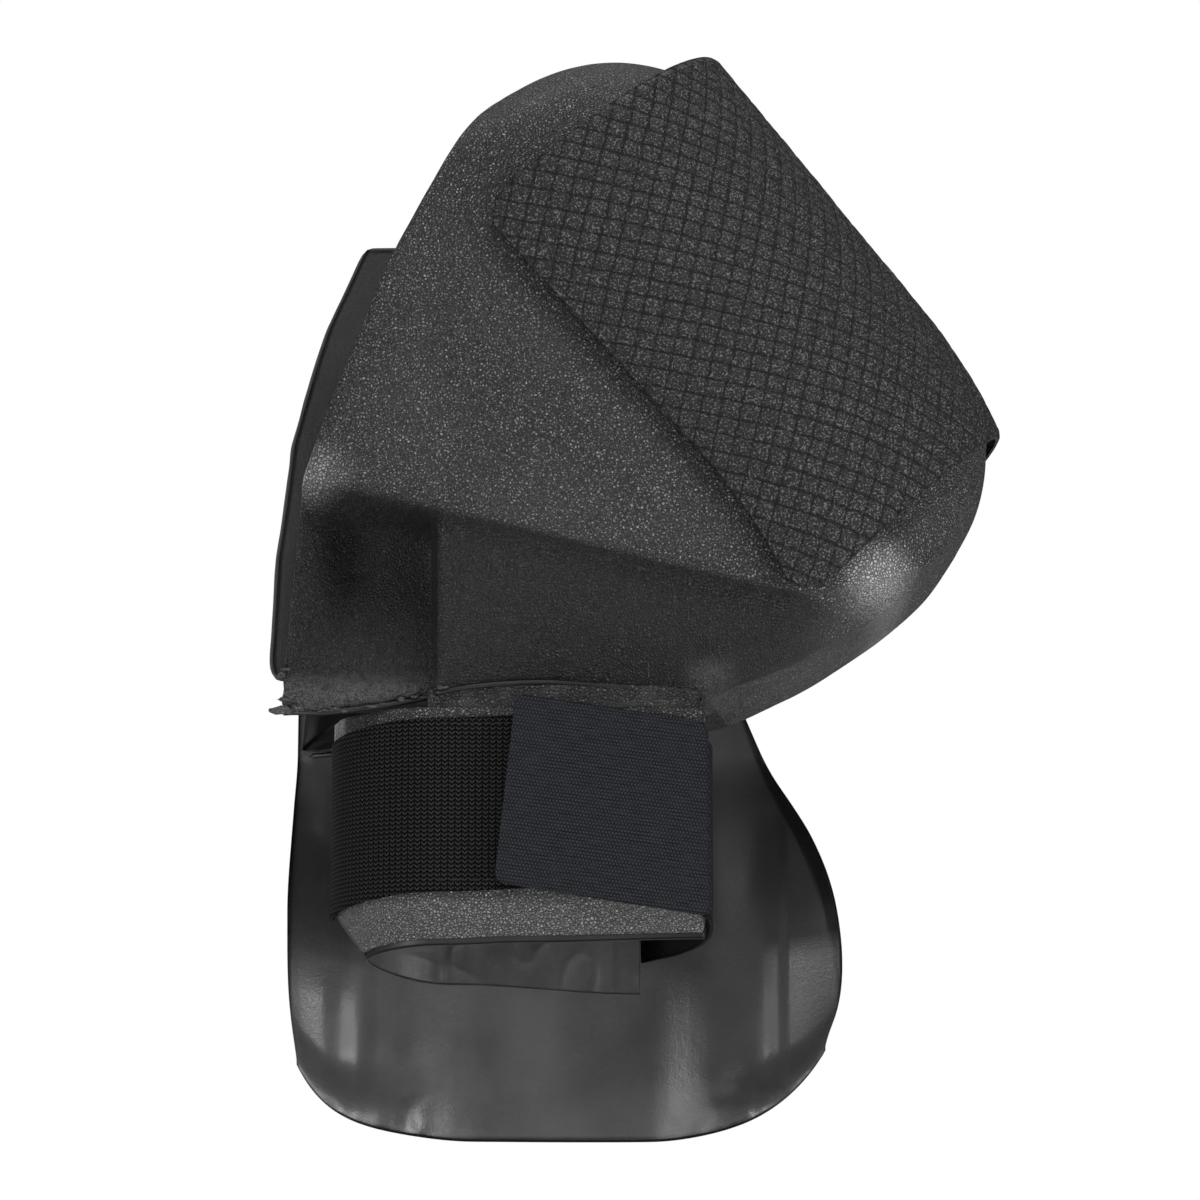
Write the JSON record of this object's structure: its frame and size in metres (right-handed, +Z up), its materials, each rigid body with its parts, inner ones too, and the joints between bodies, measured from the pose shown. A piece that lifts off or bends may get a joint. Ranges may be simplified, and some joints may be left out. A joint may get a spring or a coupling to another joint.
{
  "type": "wedge knee pad",
  "caption": "Foam wedge knee pad with a tread face, calf band closed by a hook-and-loop strap, and a side guard sheet, for kneeling on a steep roof.",
  "frame": {"origin": "centre of the wearer's bent knee, in the middle of the width", "axes": "+X to the front of the knee, +Y to the side of the guard sheet, +Z up to the thigh"},
  "size_m": [0.2876, 0.182, 0.433],
  "materials": {
    "dome_foam": "moulded closed-cell foam with a fine leather-like grain skin",
    "cushion_foam": "closed-cell foam with a fine grain skin and a cut edge",
    "band_foam": "thin grained foam",
    "tread_foam": "tough foam moulded with rows of small pillows",
    "black_film": "thin black skin, satin",
    "satin_skin": "smooth satin foam skin, softly creased",
    "loop_pile": "loop pile in zig-zag columns",
    "hook_tape": "hook tape",
    "tab_cloth": "fine woven cloth, dark blue-grey",
    "elastic_web": "ribbed elastic webbing",
    "thread": "sewing thread"
  },
  "bodies": {
    "shell": {"dome_shell": "dome_foam", "inner_liner": "black_film", "knee_cushion": "cushion_foam", "pad_loop_patch": "loop_pile", "band_web": "dome_foam", "guard_tongue": "satin_skin"},
    "tread": {"grip_pad": "tread_foam", "pad_hook_patch": "hook_tape"},
    "calf_band": {"band_front": "band_foam", "front_backing": "black_film", "loop_panel": "loop_pile", "loop_stitching": "thread", "strap_return": "elastic_web"},
    "wing": {"band_wing": "satin_skin", "wing_backing": "black_film", "calf_patch": "satin_skin", "strap_anchor": "elastic_web", "anchor_stitching": "thread"},
    "tab": {"strap_tab": "tab_cloth", "tab_hook": "hook_tape"},
    "guard": {"side_guard": "satin_skin", "guard_skin": "satin_skin"}
  },
  "joints": [
    {"name": "pad_release", "type": "slide", "parent": "shell", "child": "tread", "axis": [0.7848, 0, 0.6198], "range_m": [0, 0.06]},
    {"name": "band_swing", "type": "hinge", "parent": "shell", "child": "calf_band", "pos_m": [0, -0.059, -0.131], "axis": [1, 0, 0], "range_deg": [-18, 3], "stiffness_Nm_per_rad": 0.6},
    {"name": "wrap_spread", "type": "hinge", "parent": "calf_band", "child": "wing", "pos_m": [-0.067, -0.01, -0.18], "axis": [0, 0, 1], "range_deg": [0, 4], "stiffness_Nm_per_rad": 0.5},
    {"name": "tab_peel", "type": "hinge", "parent": "calf_band", "child": "tab", "pos_m": [0.074, -0.066, -0.18], "axis": [0, 0, 1], "range_deg": [0, 150]},
    {"name": "guard_flex", "type": "hinge", "parent": "shell", "child": "guard", "pos_m": [0, 0.0765, -0.1105], "axis": [1, 0, 0], "range_deg": [0, 15], "stiffness_Nm_per_rad": 0.5}
  ]
}
